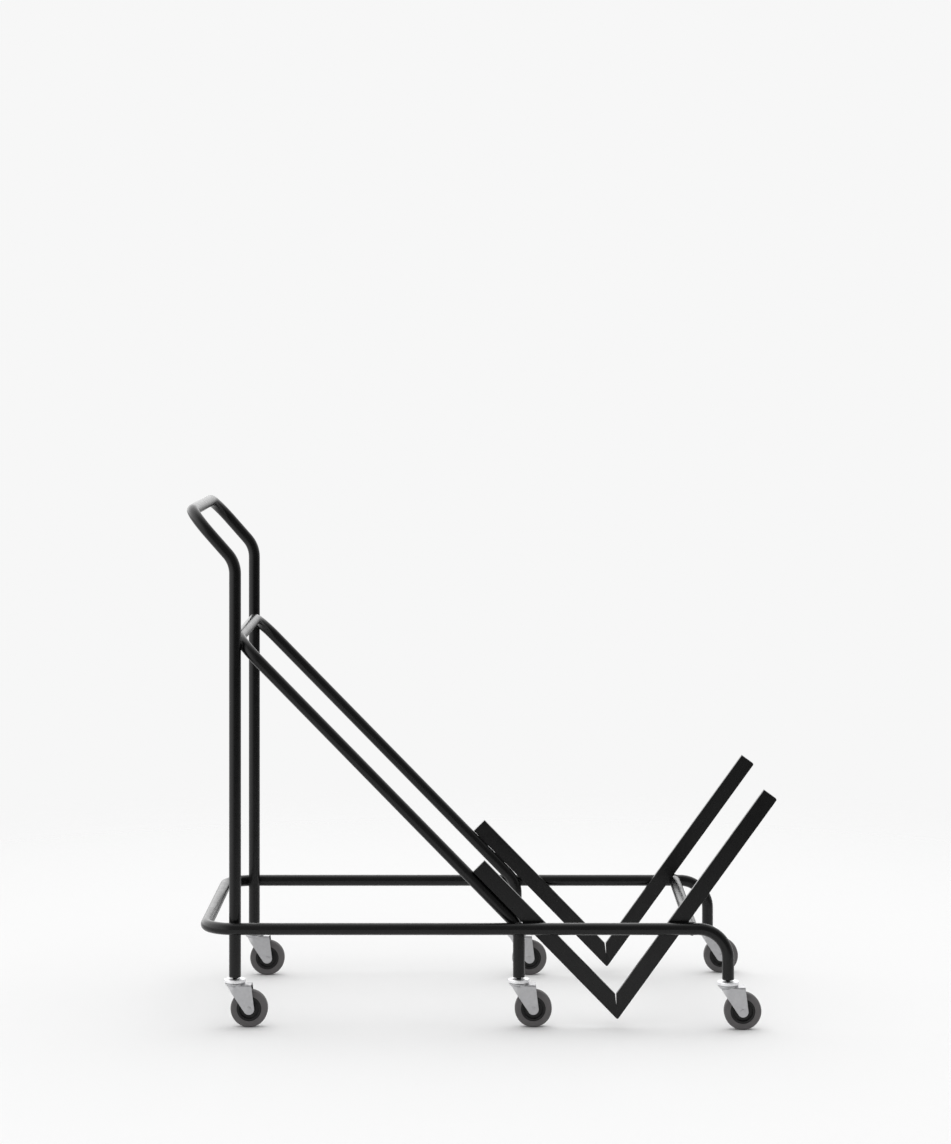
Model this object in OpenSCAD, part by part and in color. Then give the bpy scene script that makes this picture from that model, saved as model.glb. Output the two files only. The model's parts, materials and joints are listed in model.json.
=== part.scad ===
// Stacking chair trolley: three bent-tube hoops welded side by side, two V cradles
// of flat bar that carry the corner of a leaning load, and six swivel castors.
// X runs from the grip to the cradles, Y across the trolley, Z up from the floor.

/* [Frame tube] */
// Outside diameter of every frame tube
tube_d = 25; // [22:0.5:30]
// Wall of every frame tube
tube_wall = 2; // [1.2:0.1:3]
// Centre-line radius of every bend
bend_r = 62.5; // [50:0.5:72]

/* [Base] */
// Height of the side rails' axis above the floor
rail_h = 209; // [200:0.5:240]
// Distance between the axes of the two side rails
rail_spacing = 574; // [480:1:640]
// Distance from the rear run's axis to the front legs' axis
base_l = 1094; // [1040:1:1160]
// Distance from the rear run's axis to the middle legs' axis
mid_leg_l = 657.5; // [620:0.5:690]

/* [Handle hoop] */
// Height of the grip's top above the floor
handle_h = 1092; // [1000:0.5:1200]
// How far the grip's axis lies behind the uprights
handle_reach = 94; // [80:1:120]
// Slope of the handle's arms above level, in degrees
handle_angle = 48.7; // [42:0.1:56]

/* [Lean hoop] */
// Slope of the lean hoop and of the cradles' rear bars above level, in degrees
lean_angle = 45.6; // [43:0.1:49]

/* [Cradles] */
// Width of a cradle bar, seen from the side
bar_w = 34; // [26:0.5:42]
// Thickness of a cradle bar, across the trolley
bar_t = 12; // [8:0.5:16]
// Length of a rear bar along its upper edge
rear_bar_l = 392; // [330:1:450]
// Length of a front bar along its upper edge
front_bar_l = 529; // [450:1:600]
// Height above the floor where the cradles' lower edges meet, before the tip is rounded
tip_h = 16.5; // [12:0.5:40]
// Width of the open wedge at the top of the mitre
mitre_gap = 4; // [1:0.1:6]
// Radius on the cradles' tip
tip_r = 4; // [1:0.5:8]
// Radius on the outer corner of a front bar's upper end
bar_corner_r = 4; // [1:0.5:10]
// Radius on the long edges of a cradle bar
bar_edge_r = 1.5; // [0.5:0.1:3]

/* [Castor wheel] */
// Diameter of the wheel over its tyre
wheel_d = 78; // [70:1:90]
// Width of the tyre
wheel_w = 22; // [18:0.5:30]
// Diameter of the hub inside the tyre
hub_d = 52; // [46:0.5:58]
// Radius of the tyre's shoulders
shoulder_r = 4; // [1:0.5:8]
// Diameter of the axle rivet
axle_d = 8; // [6:0.5:9]
// Outside diameter of the sleeve that the hub turns on
sleeve_d = 12; // [11:0.5:16]

/* [Castor fork] */
// How far the wheel's axle trails behind the stem
castor_trail = 30; // [24:0.5:36]
// Thickness of the fork's pressed sheet
fork_sheet = 2.5; // [1.5:0.1:3.5]
// Room between the tyre's side and a cheek
cheek_gap = 3.5; // [1.5:0.1:4]
// Room between the top of the wheel and the crown
crown_gap = 9.5; // [5:0.5:12]
// How far the crown reaches behind the stem
crown_l = 36; // [30:0.5:44]
// How far ahead of the stem the cheeks' front edges meet the top of the crown
cheek_lead = 18; // [16:0.5:22]
// Radius of a cheek's rounded end round the axle
cheek_end_r = 11.5; // [8:0.5:14]
// Outside radius of the pressed bend between crown and cheeks
press_r = 5; // [4:0.5:7]

/* [Castor swivel] */
// Diameter of the bearing cup on the crown
cup_d = 43; // [40:0.5:46]
// Height of the bearing cup above the crown
cup_rise = 2.2; // [1.5:0.1:3]
// Open line between the bearing cup and the collar
race_gap = 0.8; // [0.4:0.1:1.5]
// Diameter of the collar
collar_d = 45; // [42:0.5:50]
// Height of the collar
collar_h = 7.5; // [7:0.5:12]
// Diameter of a bearing ball
ball_d = 5; // [4:0.25:6]
// Number of balls in a swivel
ball_count = 16; // [8:1:16]
// Radius of the ring of balls
ball_ring_r = 15; // [14:0.25:16]
// Diameter of the king pin
king_pin_d = 12; // [11.5:0.5:14]
// Diameter of the threaded stem
stem_d = 10; // [8:0.5:11]
// Bare length of stem between the collar and the leg
stem_gap = 3; // [2:0.5:8]

/* [Hidden] */
$fn = 64;

// Clearances: beside a weld, in a turning fit, in a pushed fit and between moving faces
weld_gap = 0.2;
turn_fit = 0.05;
push_fit = 0.05;
face_gap = 0.3;
// How far a cut runs past the piece that it goes through
overrun = 2;
// A slanting bend is drawn in a little by the bending, and laps into the runs at its ends
bend_slim = 0.15;
bend_lap = 0.3;

// Leg insert: a plug in the leg with a flange under its end
insert_flange_h = 3;
insert_edge = 1.2;
insert_plug_h = 22;
// King pin head under the crown
pin_head_d = 18;
pin_head_h = 3.5;
pin_head_edge = 1;
// Collar: roof over the balls, and the bevels of its rim
collar_wall = 2.5;
collar_roof = 5;
collar_edge = 1;
// Bearing cup: its straight rim, and the depth of its flare below the crown
cup_rim_h = 1.7;
cup_drop = 4.8;
// Ball centres above the bearing cup
ball_lift = 1.8;
// Hub: its rim, the recess in its sides, its boss
hub_rim = 5;
hub_inset = 1;
hub_recess = 5;
boss_wall = 5;
// Axle rivet: a flat head with a button on it
rivet_head_d = 11;
rivet_head_h = 1.2;
rivet_button_d = 6.5;
rivet_button_h = 1;
// Share of the cradle's mitre, from its tip, that is closed
seam_share = 0.4;
// A cradle bar's rounds run out this far past the faces that they ease
round_lap = 0.1;
// Halvings in the search for the lean hoop's seat on the uprights
seat_steps = 40;

// Frame: places along X from the rear run's axis, and across
tube_r = tube_d / 2;
bore_r = tube_r - tube_wall;
seat_r = tube_r + weld_gap;
upright_x = bend_r;
rail_y = rail_spacing / 2;
inner_y = rail_y - tube_d - weld_gap;
bar_y = rail_y - seat_r;

// Castor: heights above the floor, and widths
axle_z = wheel_d / 2;
crown_z = wheel_d + crown_gap;
crown_top = crown_z + fork_sheet;
cup_top = crown_top + cup_rise;
ball_z = cup_top + ball_lift;
collar_z = cup_top + race_gap;
collar_top = collar_z + collar_h;
insert_z = collar_top + stem_gap;
leg_z = insert_z + insert_flange_h;
slot_half = wheel_w / 2 + cheek_gap;
fork_half = slot_half + fork_sheet;

// Handle hoop: the grip's axis and the height where arm and upright axes meet
grip_z = handle_h - tube_r;
knee_z = grip_z - handle_reach * tan(handle_angle);
handle_arm = handle_reach / cos(handle_angle);

// Lean hoop: its corners bend round until they just touch the uprights
function corner_gap(ahead) =
    min([for (turn = [0 : 90])
        norm([ahead - bend_r * cos(lean_angle) * sin(turn), bend_r * (1 - cos(turn))])]);
function seat_ahead(low, high, steps) =
    steps == 0 ? high :
    corner_gap((low + high) / 2) < tube_d + weld_gap
        ? seat_ahead((low + high) / 2, high, steps - 1)
        : seat_ahead(low, (low + high) / 2, steps - 1);
lean_ahead = seat_ahead(0, bend_r + tube_d, seat_steps);
lean_arm = (mid_leg_l - upright_x - lean_ahead) / cos(lean_angle) + bend_r;

// Cradles, drawn in the XZ plane: the rear bar lies on the lean hoop, the front bar on
// the cross tube, and their lower edges meet at the tip
function along(angle) = [cos(angle), sin(angle)];
function crossing(p, u, q, v) = p + u * cross(q - p, v) / cross(u, v);
rear_up = along(180 - lean_angle);
rear_in = along(90 - lean_angle);
rear_edge = [mid_leg_l, rail_h] + seat_r * rear_in;
cradle_tip = rear_edge + rear_up * (tip_h - rear_edge.y) / rear_up.y;
cross_tube_at = [base_l - bend_r - tube_r, rail_h];
tip_to_cross = cross_tube_at - cradle_tip;
front_angle = atan2(tip_to_cross.y, tip_to_cross.x) + asin(seat_r / norm(tip_to_cross));
front_up = along(front_angle);
front_in = along(front_angle + 90);
cradle_inner = crossing(cradle_tip + bar_w * rear_in, rear_up, cradle_tip + bar_w * front_in, front_up);
seam_end = cradle_tip + seam_share * (cradle_inner - cradle_tip);
wedge_l = mitre_gap / norm(rear_up - front_up);
front_end = cradle_inner + front_bar_l * front_up;
front_corner = front_end - bar_w * front_in;

// Centres of the rounds on the tip and on a front bar's outer corner
tip_at = cradle_tip + tip_r * (rear_in + front_in) / (1 + rear_in * front_in);
corner_at = front_corner + bar_corner_r * (front_in - front_up);

// The origin lies on the floor, midway between the grip's back and the front bars' ends
origin_x = (upright_x - handle_reach - tube_r + corner_at.x + bar_corner_r + round_lap) / 2;

// Castors: name, X and Y
castors = [
    for (leg = [["rear", upright_x, inner_y], ["mid", mid_leg_l, inner_y], ["front", base_l, rail_y]])
        for (side = [["near", -1], ["far", 1]])
            [str(leg[0], "_", side[0]), leg[1], side[1] * leg[2]]];

FRAME_NODES = ["base_rail", "handle_hoop", "lean_hoop", "front_cross_tube",
    "cradle_rear_bar_near", "cradle_rear_bar_far", "cradle_front_bar_near", "cradle_front_bar_far",
    "leg_inserts", "castor_stems", "castor_collars"];
CASTOR_NODES = ["fork", "axle_rivet", "axle_sleeve", "swivel_balls", "hub", "tyre"];

module black_coat() color([0.14, 0.14, 0.145]) children();
module zinc() color([0.70, 0.70, 0.71]) children();
module chrome() color([0.86, 0.86, 0.87]) children();

// Moves a piece from the rear run's axis to the origin, and far pieces across
module placed(far = false) translate([-origin_x, 0, 0]) mirror([0, far ? 1 : 0, 0]) children();
module at_castor(castor) placed() translate([castor[1], castor[2], 0]) children();
module at_axle() translate([castor_trail, 0, axle_z]) rotate([90, 0, 0]) children();

// Bent tube: each step draws its own stretch and hands its end on, heading along +Z
module tube_section(slim = 0) {
    difference() {
        circle(r = tube_r - slim);
        circle(r = bore_r + slim);
    }
}
module run(length) {
    linear_extrude(height = length) tube_section();
    translate([0, 0, length]) children();
}
module bend(angle, turn) {
    slanting = angle % 90 != 0;
    slim = slanting ? bend_slim : 0;
    lap = slanting ? bend_lap / bend_r * 180 / PI : 0;
    rotate([0, 0, turn]) {
        translate([bend_r, 0, 0]) rotate([90, 0, 180]) rotate([0, 0, -lap])
            rotate_extrude(angle = angle + 2 * lap) translate([bend_r, 0]) tube_section(slim);
        translate([bend_r * (1 - cos(angle)), 0, bend_r * sin(angle)]) rotate([0, angle, 0]) children();
    }
}
// Leg, knee back towards -X, arm, corner, cross run, corner, arm, knee and leg, from the near foot
module hoop(foot_x, half_w, leg_l, knee, arm_l) {
    translate([foot_x, -half_w, leg_z])
        run(leg_l) bend(knee, 180)
        run(arm_l) bend(90, -90)
        run(2 * (half_w - bend_r)) bend(90, 0)
        run(arm_l) bend(knee, 90)
        run(leg_l);
}
// How far a bend's ends lie from the point where its straight axes meet
function bend_reach(angle) = bend_r * tan(angle / 2);

module base_rail() {
    black_coat() placed() hoop(base_l, rail_y, rail_h - bend_r - leg_z, 90, base_l - 2 * bend_r);
}

module handle_hoop() {
    knee = 90 - handle_angle;
    reach = bend_reach(knee);
    black_coat() placed() hoop(upright_x, inner_y, knee_z - reach - leg_z, knee, handle_arm - reach - bend_r);
}

module lean_hoop() {
    knee = 90 - lean_angle;
    reach = bend_reach(knee);
    black_coat() placed() hoop(mid_leg_l, inner_y, rail_h - reach - leg_z, knee, lean_arm - reach - bend_r);
}

// Tube between the rails, its ends cut to a saddle round them
module front_cross_tube() {
    black_coat() placed() translate([cross_tube_at.x, 0, cross_tube_at.y]) difference() {
        rotate([90, 0, 0]) linear_extrude(height = rail_spacing, center = true) tube_section();
        for (side = [-1, 1]) translate([0, side * rail_y, 0])
            rotate([0, 90, 0]) cylinder(r = seat_r, h = tube_d + overrun, center = true);
    }
}

// Rolled flat bar that runs along +Z, its outer narrow face at X = 0
module bar_stock(length) {
    stock_w = bar_w + 2 * round_lap;
    linear_extrude(height = length) translate([-round_lap, 0]) {
        translate([0, bar_edge_r]) square([stock_w, bar_t - 2 * bar_edge_r]);
        translate([bar_edge_r, 0]) square([stock_w - 2 * bar_edge_r, bar_t]);
        for (x = [bar_edge_r, stock_w - bar_edge_r]) for (y = [bar_edge_r, bar_t - bar_edge_r])
            translate([x, y]) circle(r = bar_edge_r);
    }
}
// What a round takes off a corner, seen from the side: out and next are its edges' outward normals
module corner_waste(centre, radius, out, next) {
    reach = radius + overrun;
    difference() {
        polygon([centre, centre + reach * out, centre + reach * (out + next) / (1 + out * next),
            centre + reach * next]);
        translate(centre) circle(r = radius + round_lap);
    }
}
module tip_waste() corner_waste(tip_at, tip_r, -rear_in, -front_in);
module end_waste() corner_waste(corner_at, bar_corner_r, -front_in, front_up);
module through_bar() {
    translate([0, bar_t + overrun, 0]) rotate([90, 0, 0])
        linear_extrude(height = bar_t + 2 * overrun) children();
}
// Flat bar on edge, its outer face against the rail, cut to the mitre; the children are its waste
module cradle_bar(far, angle, inward, length) {
    up = along(angle);
    top = cradle_inner + length * up;
    black_coat() placed(far) translate([0, -bar_y, 0]) difference() {
        intersection() {
            translate([cradle_tip.x, 0, cradle_tip.y]) rotate([0, 90 - angle, 0])
                mirror([angle < 90 ? 1 : 0, 0, 0]) translate([0, 0, -overrun]) bar_stock(length + 2 * bar_w);
            through_bar() polygon([cradle_tip, seam_end, cradle_inner + wedge_l * up, top,
                top - bar_w * inward]);
        }
        through_bar() children();
    }
}
module cradle_rear_bar(far) cradle_bar(far, 180 - lean_angle, rear_in, rear_bar_l) tip_waste();
module cradle_front_bar(far) {
    cradle_bar(far, front_angle, front_in, front_bar_l) {
        tip_waste();
        end_waste();
    }
}

// Plug pushed into each leg, threaded for the castor's stem, its flange under the tube's end
module leg_inserts() {
    plug_r = bore_r - push_fit;
    for (castor = castors) color([0.08, 0.08, 0.085]) at_castor(castor) rotate_extrude()
        polygon([[stem_d / 2 + push_fit, insert_z], [tube_r - insert_edge, insert_z],
            [tube_r, insert_z + insert_edge], [tube_r, leg_z - push_fit], [plug_r, leg_z - push_fit],
            [plug_r, leg_z + insert_plug_h - insert_edge], [plug_r - insert_edge, leg_z + insert_plug_h],
            [stem_d / 2 + push_fit, leg_z + insert_plug_h]]);
}

// Stem and king pin in one, headed under the crown
module castor_stems() {
    head_top = crown_z - face_gap;
    stem_r = stem_d / 2;
    pin_r = king_pin_d / 2;
    head_r = pin_head_d / 2;
    for (castor = castors) zinc() at_castor(castor) rotate_extrude()
        polygon([[0, head_top - pin_head_h], [head_r - pin_head_edge, head_top - pin_head_h],
            [head_r, head_top - pin_head_h + pin_head_edge], [head_r, head_top], [pin_r, head_top],
            [pin_r, collar_top], [stem_r, collar_top], [stem_r, leg_z + insert_plug_h - insert_edge],
            [0, leg_z + insert_plug_h - insert_edge]]);
}

// Upper race: a cup turned over the balls, fixed on the king pin
module castor_collars() {
    outer_r = collar_d / 2;
    inner_r = outer_r - collar_wall;
    roof_z = collar_top - collar_roof;
    for (castor = castors) chrome() at_castor(castor) rotate_extrude() difference() {
        polygon([[king_pin_d / 2 + push_fit, roof_z], [inner_r, roof_z], [inner_r, collar_z],
            [outer_r - collar_edge / 2, collar_z], [outer_r, collar_z + collar_edge / 2],
            [outer_r, collar_top - collar_edge], [outer_r - collar_edge, collar_top],
            [king_pin_d / 2 + push_fit, collar_top]]);
        translate([ball_ring_r, ball_z]) circle(d = ball_d + 2 * face_gap);
    }
}

// Side of a cheek in the XZ plane: from the crown down to a round end at the axle
function tangent_point(from, centre, radius, side) =
    let (to = from - centre, reach = norm(to), lead = atan2(to.y, to.x) + side * acos(radius / reach))
        centre + radius * along(lead);
module cheek_outline() {
    axle = [castor_trail, axle_z];
    nose = [-cheek_lead, crown_top];
    tail = [crown_l, crown_top];
    polygon([nose, tangent_point(nose, axle, cheek_end_r, 1), axle,
        tangent_point(tail, axle, cheek_end_r, -1), tail]);
    translate(axle) circle(r = cheek_end_r);
}
// Plan of the fork: a round nose about the stem, straight cheeks behind it
module fork_plan(half) {
    circle(r = half);
    translate([0, -half]) square([castor_trail + cheek_end_r + overrun, 2 * half]);
}
// Cross-section of the fork, its upper corners rounded
module fork_section(half, top, round_r) {
    translate([-half, 0]) square([2 * half, top - round_r]);
    translate([-(half - round_r), 0]) square([2 * (half - round_r), top]);
    for (side = [-1, 1]) translate([side * (half - round_r), top - round_r]) circle(r = round_r);
}
// A block with the fork's plan and cross-section
module fork_block(half, top, round_r) {
    intersection() {
        linear_extrude(height = top) fork_plan(half);
        translate([-half, 0, 0]) rotate([90, 0, 90])
            linear_extrude(height = half + castor_trail + cheek_end_r + overrun)
            fork_section(half, top, round_r);
    }
}

// Pressed fork: crown, two cheeks and a round nose, with the lower race swaged into the crown
module fork(castor) {
    cup_r = cup_d / 2;
    zinc() at_castor(castor) difference() {
        union() {
            intersection() {
                fork_block(fork_half, crown_top, press_r);
                translate([0, fork_half, 0]) rotate([90, 0, 0])
                    linear_extrude(height = 2 * fork_half) cheek_outline();
            }
            rotate_extrude() polygon([[0, crown_top - cup_drop], [fork_half, crown_top - cup_drop],
                [cup_r, cup_top - cup_rim_h], [cup_r, cup_top], [0, cup_top]]);
        }
        fork_block(slot_half, crown_z, press_r - fork_sheet);
        cylinder(r = king_pin_d / 2 + turn_fit, h = cup_top + overrun);
        rotate_extrude() translate([ball_ring_r, ball_z]) circle(d = ball_d + 2 * turn_fit);
        at_axle() cylinder(r = axle_d / 2 + push_fit, h = 2 * (fork_half + overrun), center = true);
    }
}

// Rivet through both cheeks, headed at each end
module axle_rivet(castor) {
    head_y = fork_half + push_fit;
    button_y = head_y + rivet_head_h;
    zinc() at_castor(castor) at_axle() {
        cylinder(d = axle_d, h = 2 * head_y, center = true);
        for (side = [0, 1]) mirror([0, 0, side]) {
            translate([0, 0, head_y]) cylinder(d = rivet_head_d, h = rivet_head_h);
            translate([0, 0, button_y]) cylinder(d = rivet_button_d, h = rivet_button_h);
        }
    }
}

// Spacer between the cheeks, clamped by the rivet
module axle_sleeve(castor) {
    zinc() at_castor(castor) at_axle() difference() {
        cylinder(d = sleeve_d, h = 2 * (slot_half - push_fit), center = true);
        cylinder(r = axle_d / 2 + push_fit, h = 2 * (slot_half + overrun), center = true);
    }
}

module swivel_balls(castor) {
    chrome() at_castor(castor) for (i = [0 : ball_count - 1])
        rotate([0, 0, i * 360 / ball_count]) translate([ball_ring_r, 0, ball_z]) sphere(d = ball_d);
}

// Moulded hub: rim, web and a boss that runs on the sleeve
module hub(castor) {
    rim_r = hub_d / 2 - push_fit;
    rim_half = wheel_w / 2 - hub_inset;
    web_half = rim_half - hub_recess;
    boss_half = slot_half - face_gap;
    hole_r = sleeve_d / 2 + turn_fit;
    boss_r = hole_r + boss_wall;
    color([0.13, 0.13, 0.13]) at_castor(castor) at_axle() rotate_extrude()
        polygon([for (side = [1, -1]) each (
            let (half = [[hole_r, boss_half], [boss_r, boss_half], [boss_r, web_half],
                [rim_r - hub_rim, web_half], [rim_r - hub_rim, rim_half], [rim_r, rim_half]])
            side > 0 ? half : [for (i = [len(half) - 1 : -1 : 0]) [half[i].x, -half[i].y]])]);
}

// Rubber tyre moulded round the hub, its shoulders rounded
module tyre(castor) {
    outer_r = wheel_d / 2;
    inner_r = hub_d / 2;
    side_r = outer_r - shoulder_r;
    color([0.32, 0.31, 0.31]) at_castor(castor) at_axle() rotate_extrude() {
        translate([inner_r, -wheel_w / 2]) square([side_r - inner_r, wheel_w]);
        translate([inner_r, shoulder_r - wheel_w / 2])
            square([outer_r - inner_r, wheel_w - 2 * shoulder_r]);
        for (side = [-1, 1]) translate([side_r, side * (wheel_w / 2 - shoulder_r)]) circle(r = shoulder_r);
    }
}

base_rail();
handle_hoop();
lean_hoop();
front_cross_tube();
cradle_rear_bar(false);  // cradle_rear_bar_near
cradle_rear_bar(true);  // cradle_rear_bar_far
cradle_front_bar(false);  // cradle_front_bar_near
cradle_front_bar(true);  // cradle_front_bar_far
leg_inserts();
castor_stems();
castor_collars();
for (castor = castors) {
    fork(castor);
    axle_rivet(castor);
    axle_sleeve(castor);
    swivel_balls(castor);
    hub(castor);
    tyre(castor);
}
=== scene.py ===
import json
import math

import bmesh
import bpy
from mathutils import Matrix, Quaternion, Vector

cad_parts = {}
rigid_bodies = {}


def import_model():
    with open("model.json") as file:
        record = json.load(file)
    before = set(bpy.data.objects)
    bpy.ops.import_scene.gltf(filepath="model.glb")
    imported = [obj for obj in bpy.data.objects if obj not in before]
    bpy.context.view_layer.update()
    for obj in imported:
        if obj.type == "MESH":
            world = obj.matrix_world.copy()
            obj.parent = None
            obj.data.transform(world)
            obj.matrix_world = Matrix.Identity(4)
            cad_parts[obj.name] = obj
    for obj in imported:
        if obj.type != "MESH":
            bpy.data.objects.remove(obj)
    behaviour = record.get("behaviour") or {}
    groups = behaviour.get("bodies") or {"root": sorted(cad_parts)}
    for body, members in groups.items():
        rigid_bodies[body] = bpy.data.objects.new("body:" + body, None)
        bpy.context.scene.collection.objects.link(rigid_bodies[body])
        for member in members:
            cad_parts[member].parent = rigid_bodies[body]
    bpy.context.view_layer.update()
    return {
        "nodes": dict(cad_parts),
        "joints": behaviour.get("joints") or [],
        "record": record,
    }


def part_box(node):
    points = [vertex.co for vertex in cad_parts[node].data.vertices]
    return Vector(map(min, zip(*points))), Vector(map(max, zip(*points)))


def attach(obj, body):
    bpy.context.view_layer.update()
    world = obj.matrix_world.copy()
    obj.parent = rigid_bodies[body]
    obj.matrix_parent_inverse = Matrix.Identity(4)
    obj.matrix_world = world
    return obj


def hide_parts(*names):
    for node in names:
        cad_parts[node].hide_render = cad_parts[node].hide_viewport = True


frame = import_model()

# Base rail
# One length of steel tube, bent cold into two front legs, two side rails and the rear run.
# It is welded to the two hoops inside it, and the whole frame is powder coated black.
tube_low, tube_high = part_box("front_cross_tube")
tube_r = (tube_high.z - tube_low.z) / 2
tube_wall = 0.002
bend_r = 0.0625
tube_sides = 48
bend_step = math.radians(5)
rail_z = (tube_low.z + tube_high.z) / 2
quarter = math.pi / 2
UP = Vector((0, 0, 1))
BACK = Vector((-1, 0, 0))
ACROSS = Vector((0, 1, 0))
smooth_angle = math.radians(35)
same_place = 0.000001


def select_only(*pieces):
    """Selects those pieces alone, and makes the first of them the active one."""
    bpy.ops.object.select_all(action="DESELECT")
    for piece in pieces:
        piece.select_set(True)
    bpy.context.view_layer.objects.active = pieces[0]


def apply_modifiers(piece):
    """Applies a piece's modifiers in order, and rounds its shading off."""
    select_only(piece)
    for modifier in list(piece.modifiers):
        bpy.ops.object.modifier_apply(modifier=modifier.name)
    bpy.ops.object.shade_smooth_by_angle(angle=smooth_angle)


def face_outwards():
    """Merges doubles and turns the faces of the mesh in edit mode outwards."""
    bpy.ops.mesh.select_all(action="SELECT")
    bpy.ops.mesh.remove_doubles(threshold=same_place)
    bpy.ops.mesh.normals_make_consistent(inside=False)


def add_wall(tube):
    """Gives a tube its wall, inwards from its outside."""
    wall = tube.modifiers.new("wall", "SOLIDIFY")
    wall.thickness = tube_wall
    wall.offset = -1


def bent_tube(name, foot, steps):
    """A ring pulled up from its foot, run by run, and spun round a former at each bend."""
    bpy.ops.object.select_all(action="DESELECT")
    bpy.ops.mesh.primitive_circle_add(vertices=tube_sides, radius=tube_r, location=foot)
    tube = bpy.context.object
    tube.name = name
    bpy.ops.object.transform_apply(location=True)
    bpy.ops.object.mode_set(mode="EDIT")
    bpy.ops.mesh.select_all(action="SELECT")
    at, heading = Vector(foot), UP.copy()
    for length, toward, angle in steps:
        bpy.ops.mesh.extrude_region_move(TRANSFORM_OT_translate={"value": heading * length})
        at = at + heading * length
        if angle:
            centre, axis = at + bend_r * toward, heading.cross(toward)
            count = math.ceil(angle / bend_step)
            bpy.ops.mesh.spin(steps=count, angle=-angle, center=centre, axis=axis)
            turn = Quaternion(axis, angle)
            at, heading = centre + turn @ (at - centre), turn @ heading
    face_outwards()
    bpy.ops.object.mode_set(mode="OBJECT")
    add_wall(tube)
    apply_modifiers(tube)
    return tube


def bend_reach(angle):
    """How far a bend's ends lie from the point where its straight axes would meet."""
    return bend_r * math.tan(angle / 2)


def hoop(name, foot, leg_l, knee, arm_l):
    """Leg, knee back, arm, corner, cross run, corner, arm, knee and leg, from the near foot."""
    arm = Vector((-math.sin(knee), 0, math.cos(knee)))
    under = Vector((-math.cos(knee), 0, -math.sin(knee)))
    cross_l = 2 * (-foot.y - bend_r)
    return bent_tube(name, foot, [
        (leg_l, BACK, knee), (arm_l, ACROSS, quarter), (cross_l, -arm, quarter),
        (arm_l, under, knee), (leg_l, UP, 0)])


noise_detail = 3
noise_low, noise_high = 0.3, 0.7


def noise_group():
    """Shader group: fine noise on Object coordinates, stretched between two values."""
    group = bpy.data.node_groups.new("uneven_finish", "ShaderNodeTree")
    for socket in ("Scale", "Lowest", "Highest"):
        group.interface.new_socket(socket, in_out="INPUT", socket_type="NodeSocketFloat")
    group.interface.new_socket("Value", in_out="OUTPUT", socket_type="NodeSocketFloat")
    inside = group.nodes.new("NodeGroupInput")
    place = group.nodes.new("ShaderNodeTexCoord")
    noise = group.nodes.new("ShaderNodeTexNoise")
    noise.inputs["Detail"].default_value = noise_detail
    spread = group.nodes.new("ShaderNodeMapRange")
    spread.inputs["From Min"].default_value = noise_low
    spread.inputs["From Max"].default_value = noise_high
    out = group.nodes.new("NodeGroupOutput")
    group.links.new(place.outputs["Object"], noise.inputs["Vector"])
    group.links.new(inside.outputs["Scale"], noise.inputs["Scale"])
    group.links.new(noise.outputs["Fac"], spread.inputs["Value"])
    group.links.new(inside.outputs["Lowest"], spread.inputs["To Min"])
    group.links.new(inside.outputs["Highest"], spread.inputs["To Max"])
    group.links.new(spread.outputs["Result"], out.inputs["Value"])
    return group


uneven_finish = noise_group()


def uneven(material, scale, lowest, highest):
    """Places the uneven finish in a material, with its own scale and range."""
    node = material.node_tree.nodes.new("ShaderNodeGroup")
    node.node_tree = uneven_finish
    node.inputs["Scale"].default_value = scale
    node.inputs["Lowest"].default_value = lowest
    node.inputs["Highest"].default_value = highest
    return node.outputs["Value"]


def finish(name, dark, light, patch_scale, rough, rough_scale, grain_scale, grain_depth,
           metallic=0.0, gloss=0.5):
    """A finish of two close tones in soft patches, uneven roughness and a fine grain."""
    material = bpy.data.materials.new(name)
    material.use_nodes = True
    nodes, links = material.node_tree.nodes, material.node_tree.links
    shader = nodes["Principled BSDF"]
    shader.inputs["Metallic"].default_value = metallic
    shader.inputs["Specular IOR Level"].default_value = gloss
    tone = nodes.new("ShaderNodeMix")
    tone.data_type = "RGBA"
    tone.inputs["A"].default_value = (*dark, 1)
    tone.inputs["B"].default_value = (*light, 1)
    links.new(uneven(material, patch_scale, 0.0, 1.0), tone.inputs["Factor"])
    links.new(tone.outputs["Result"], shader.inputs["Base Color"])
    links.new(uneven(material, rough_scale, *rough), shader.inputs["Roughness"])
    bump = nodes.new("ShaderNodeBump")
    bump.inputs["Distance"].default_value = grain_depth
    links.new(uneven(material, grain_scale, 0.0, 1.0), bump.inputs["Height"])
    links.new(bump.outputs["Normal"], shader.inputs["Normal"])
    return material


def dress(pieces, material):
    """Gives pieces one material."""
    for piece in pieces:
        piece.data.materials.clear()
        piece.data.materials.append(material)


powder_coat = finish(
    "powder_coat", dark=(0.0030, 0.0030, 0.0031), light=(0.0042, 0.0042, 0.0043), patch_scale=14,
    rough=(0.24, 0.31), rough_scale=55, grain_scale=620, grain_depth=0.00002, gloss=0.3)


def fitted(piece, material, body, slot_name, *nodes):
    """Dresses a piece and the nodes that it stands for, and says which body carries it."""
    dress([piece] + [frame["nodes"][node] for node in nodes], material)
    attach(piece, body)
    if nodes:
        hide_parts(*nodes)


def coated(piece, *nodes):
    """A powder-coated piece of the frame that stands for those nodes."""
    fitted(piece, powder_coat, "frame", "black_powder_coat", *nodes)


rail_low, rail_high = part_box("base_rail")
rail_y = rail_high.y - tube_r
leg_foot_z = rail_low.z
front_leg_x = rail_high.x - tube_r
rear_run_x = rail_low.x + tube_r
base_rail = hoop(
    "base_rail_tube", Vector((front_leg_x, -rail_y, leg_foot_z)),
    leg_l=rail_z - bend_r - leg_foot_z, knee=quarter, arm_l=front_leg_x - rear_run_x - 2 * bend_r)
coated(base_rail, "base_rail")

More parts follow.
